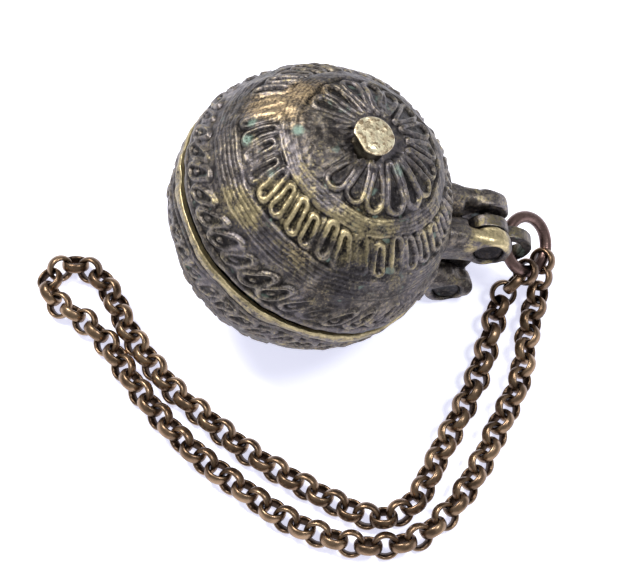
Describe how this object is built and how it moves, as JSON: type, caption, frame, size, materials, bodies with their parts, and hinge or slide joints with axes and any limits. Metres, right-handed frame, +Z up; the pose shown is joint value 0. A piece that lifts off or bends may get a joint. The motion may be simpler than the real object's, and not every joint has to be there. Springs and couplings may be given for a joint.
{
  "type": "hinged ball box",
  "caption": "Small round cast brass box in two hinged halves, with a flat knob, a ring at the hinge and a doubled belcher chain.",
  "frame": {"origin": "on the surface the box lies on, under the middle of the box and its ring", "axes": "+X from the ball to the hinge, +Y along the hinge pins away from the chain, +Z up"},
  "size_m": [0.1032, 0.0887, 0.0572],
  "materials": {
    "patinated_brass": "dark grey-brown patina, worn to brass on raised lines",
    "worn_brass": "pale worn brass, pitted",
    "link_brass": "dull grey-brown brass",
    "pin_brass": "dark, dirty brass",
    "ring_bronze": "dark brown bronze wire, smooth",
    "chain_copper": "antiqued coppery brass, brighter on its high spots"
  },
  "bodies": {
    "bowl": {"bowl_shell": "patinated_brass", "hinge_link": "link_brass", "hinge_pin_lower": "pin_brass", "chain": "chain_copper"},
    "lid": {"lid_shell": "patinated_brass", "lid_knob": "worn_brass", "hinge_pin_upper": "pin_brass"},
    "ring": {"chain_ring": "ring_bronze", "chain_end_link_inner": "chain_copper", "chain_end_link_outer": "chain_copper"}
  },
  "joints": [
    {"name": "lid_hinge", "type": "hinge", "parent": "bowl", "child": "lid", "pos_m": [0.02368, 0, 0.01884], "axis": [0, 1, 0], "range_deg": [0, 110]},
    {"name": "ring_swing", "type": "hinge", "parent": "bowl", "child": "ring", "pos_m": [0.02793, -0.0008, 0.01353], "axis": [0, -1, 0], "range_deg": [0, 45]}
  ]
}
